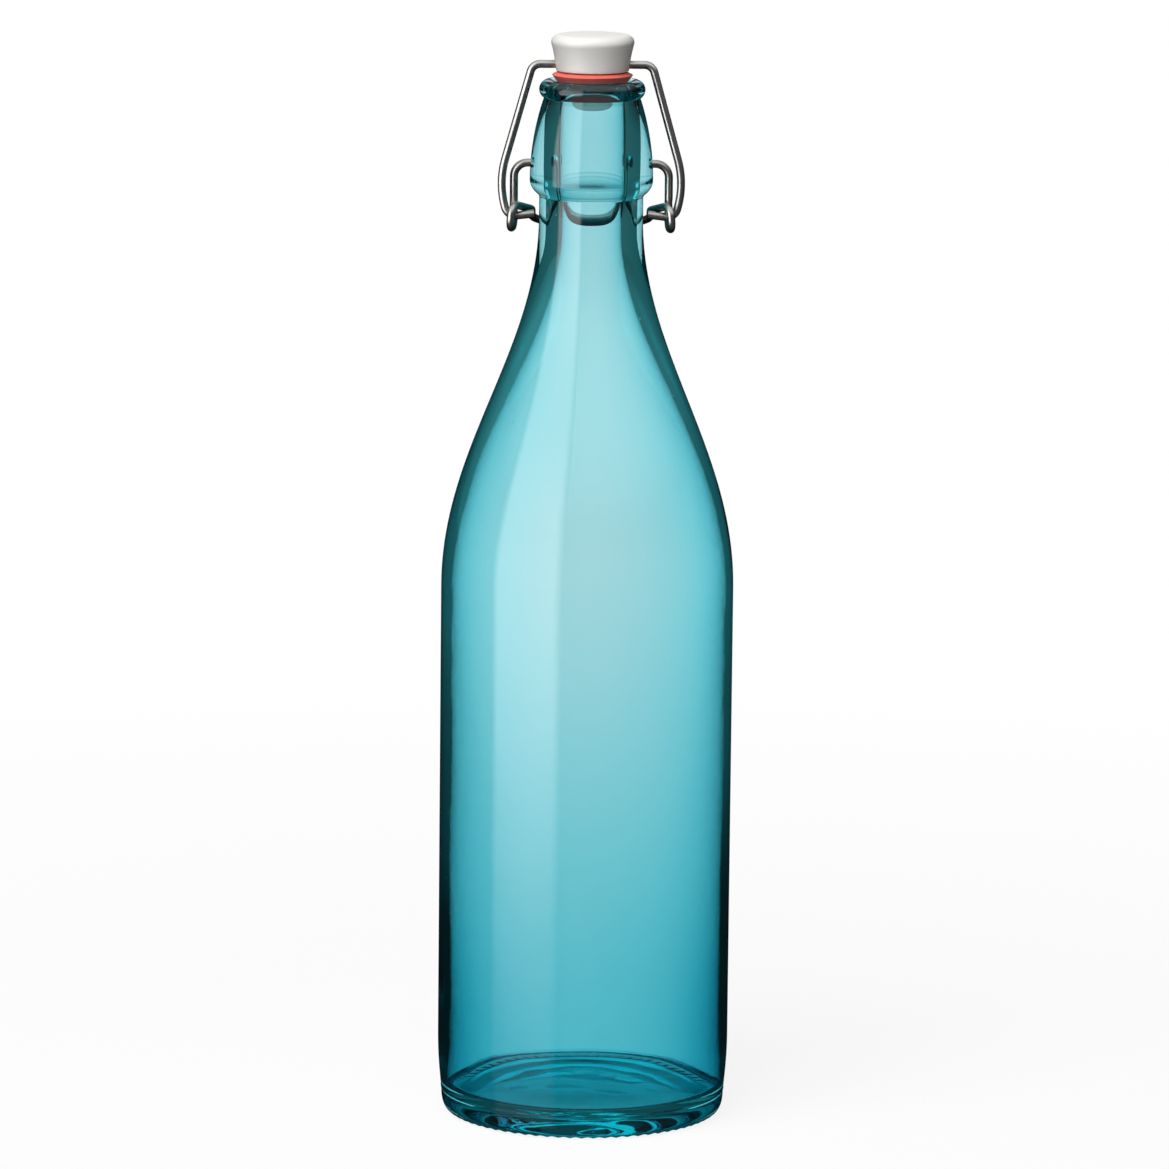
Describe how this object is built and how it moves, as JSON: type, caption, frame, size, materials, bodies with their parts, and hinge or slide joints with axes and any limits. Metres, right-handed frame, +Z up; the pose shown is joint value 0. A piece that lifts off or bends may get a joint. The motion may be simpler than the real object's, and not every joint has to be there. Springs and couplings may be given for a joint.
{
  "type": "swing-top bottle",
  "caption": "Teal glass bottle with a long sloping shoulder and a white stopper on a wire bail; lifting the thumb lever behind the neck frees the stopper so it swings clear of the mouth.",
  "frame": {"origin": "centre of the foot, on the table", "axes": "+Z up along the bottle's axis, +Y towards the thumb loop behind the neck, +X along the pivot axis"},
  "size_m": [0.086, 0.086, 0.3206],
  "materials": {
    "teal_glass": "clear coloured glass, smooth",
    "steel_wire": "drawn wire, bright",
    "white_stopper": "moulded, soft gloss",
    "red_rubber": "matte rubber"
  },
  "bodies": {
    "bottle": {"glass_bottle": "teal_glass"},
    "lever": {"lever_wire": "steel_wire"},
    "bail": {"bail_wire": "steel_wire"},
    "plug": {"stopper": "white_stopper", "gasket": "red_rubber"}
  },
  "joints": [
    {"name": "lever_swing", "type": "hinge", "parent": "bottle", "child": "lever", "pos_m": [0, 0, 0.2827], "axis": [1, 0, 0], "range_deg": [0, 180]},
    {"name": "bail_swing", "type": "hinge", "parent": "lever", "child": "bail", "pos_m": [0, -0.0032, 0.2672], "axis": [1, 0, 0], "range_deg": [-124, 0]},
    {"name": "stopper_tilt", "type": "hinge", "parent": "bail", "child": "plug", "pos_m": [0, 0, 0.3116], "axis": [1, 0, 0], "range_deg": [-64, 0]}
  ],
  "couplings": [
    {"joint": "bail_swing", "follows": "lever_swing", "ratio": -0.665},
    {"joint": "stopper_tilt", "follows": "lever_swing", "ratio": -0.335}
  ]
}
